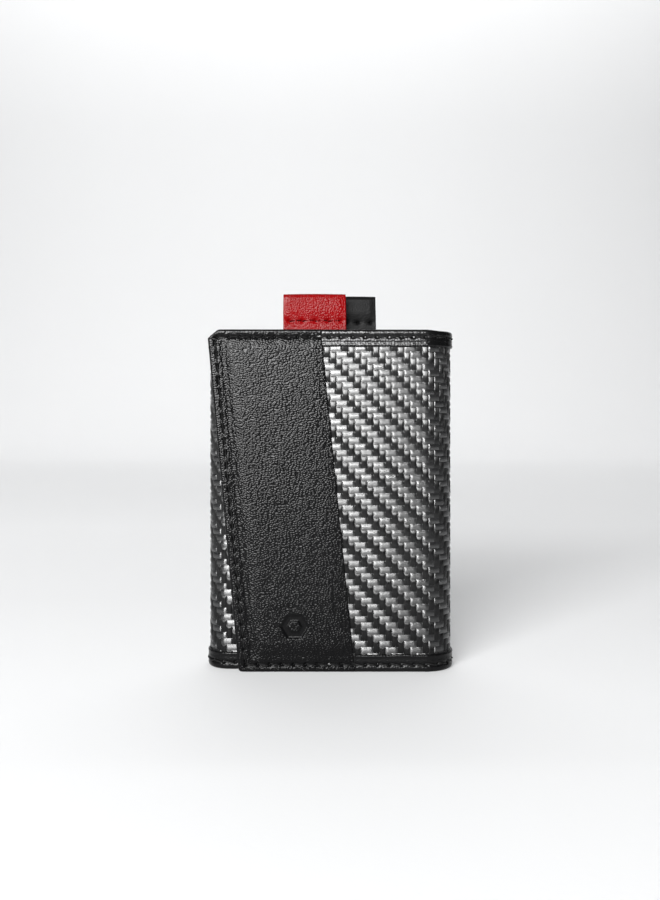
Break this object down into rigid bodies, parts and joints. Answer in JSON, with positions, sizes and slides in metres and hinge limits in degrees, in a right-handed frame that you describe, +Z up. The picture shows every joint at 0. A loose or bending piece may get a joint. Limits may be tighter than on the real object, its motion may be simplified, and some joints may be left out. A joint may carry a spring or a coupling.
{
  "type": "pull tab card wallet",
  "caption": "Slim folding pocket wallet in carbon-look twill and black leather, with a hinged slanted cover and ribbon pull tabs that raise the cards.",
  "frame": {"origin": "middle of the wallet's footprint on the surface it stands on", "axes": "+X to the right as seen from the cover side, +Y towards the back, +Z up along the pull tabs"},
  "size_m": [0.073, 0.0182, 0.11],
  "materials": {
    "woven_skin": "glossy coated two by two twill",
    "black_leather": "fine pebbled satin",
    "lining_fabric": "matt plain weave",
    "red_leather": "fine pebbled satin",
    "tab_leather": "fine pebbled satin",
    "ribbon": "matt woven ribbon",
    "black_thread": "twisted satin thread",
    "magnet": "nickel plate",
    "shield_foil": "bright foil",
    "board": "matt fibre board"
  },
  "bodies": {
    "wallet_body": {"black_strap_tail": "ribbon", "body_bottom_binding": "black_leather", "body_lining": "lining_fabric", "body_skin": "woven_skin", "body_stitches": "black_thread", "body_top_binding": "black_leather", "bottom_panel": "lining_fabric", "front_pocket_gusset": "lining_fabric", "front_shield_foil": "shield_foil", "inner_panel_board": "board", "inner_panel_edge_binding": "black_leather", "inner_panel_edge_stitches": "black_thread", "inner_panel_lining": "lining_fabric", "note_band": "black_leather", "note_band_stitches": "black_thread", "panel_magnet_lower": "magnet", "panel_magnet_upper": "magnet", "pocket_divider": "lining_fabric", "rear_pocket_gusset": "lining_fabric", "rear_shield_foil": "shield_foil", "red_strap_tail": "ribbon"},
    "spine_rear": {"spine_rear_bottom_binding": "black_leather", "spine_rear_lining": "lining_fabric", "spine_rear_skin": "woven_skin", "spine_rear_stitches": "black_thread", "spine_rear_top_binding": "black_leather"},
    "spine_front": {"spine_front_bottom_binding": "black_leather", "spine_front_lining": "lining_fabric", "spine_front_skin": "woven_skin", "spine_front_stitches": "black_thread", "spine_front_top_binding": "black_leather"},
    "cover": {"cover_board": "board", "cover_bottom_binding": "black_leather", "cover_lining": "lining_fabric", "cover_magnet_lower": "magnet", "cover_magnet_upper": "magnet", "cover_skin": "woven_skin", "cover_stitches": "black_thread", "cover_strip": "black_leather", "cover_top_binding": "black_leather"},
    "red_loop": {"red_strap_loop": "ribbon"},
    "red_tab": {"red_strap_run": "ribbon", "red_tab_grip": "red_leather", "red_tab_stitches": "black_thread"},
    "black_loop": {"black_strap_loop": "ribbon"},
    "black_tab": {"black_strap_run": "ribbon", "black_tab_grip": "tab_leather", "black_tab_stitches": "black_thread"}
  },
  "joints": [
    {"name": "rear_fold", "type": "hinge", "parent": "wallet_body", "child": "spine_rear", "pos_m": [0.0319, 0.00772, 0], "axis": [0, 0, 1], "range_deg": [0, 60]},
    {"name": "middle_fold", "type": "hinge", "parent": "spine_rear", "child": "spine_front", "pos_m": [0.0363, 0.0001, 0], "axis": [0, 0, 1], "range_deg": [0, 60]},
    {"name": "cover_fold", "type": "hinge", "parent": "spine_front", "child": "cover", "pos_m": [0.0319, -0.00752, 0], "axis": [0, 0, 1], "range_deg": [0, 60]},
    {"name": "red_loop_lift", "type": "slide", "parent": "wallet_body", "child": "red_loop", "axis": [0, 0, 1], "range_m": [0, 0.02], "deforming": ["red_strap_tail"]},
    {"name": "red_tab_pull", "type": "slide", "parent": "red_loop", "child": "red_tab", "axis": [0, 0, 1], "range_m": [0, 0.02]},
    {"name": "black_loop_lift", "type": "slide", "parent": "wallet_body", "child": "black_loop", "axis": [0, 0, 1], "range_m": [0, 0.02], "deforming": ["black_strap_tail"]},
    {"name": "black_tab_pull", "type": "slide", "parent": "black_loop", "child": "black_tab", "axis": [0, 0, 1], "range_m": [0, 0.02]}
  ],
  "couplings": [
    {"joint": "rear_fold", "follows": "cover_fold", "ratio": 1},
    {"joint": "middle_fold", "follows": "cover_fold", "ratio": 1},
    {"joint": "red_loop_lift", "follows": "red_tab_pull", "ratio": 1},
    {"joint": "black_loop_lift", "follows": "black_tab_pull", "ratio": 1}
  ]
}
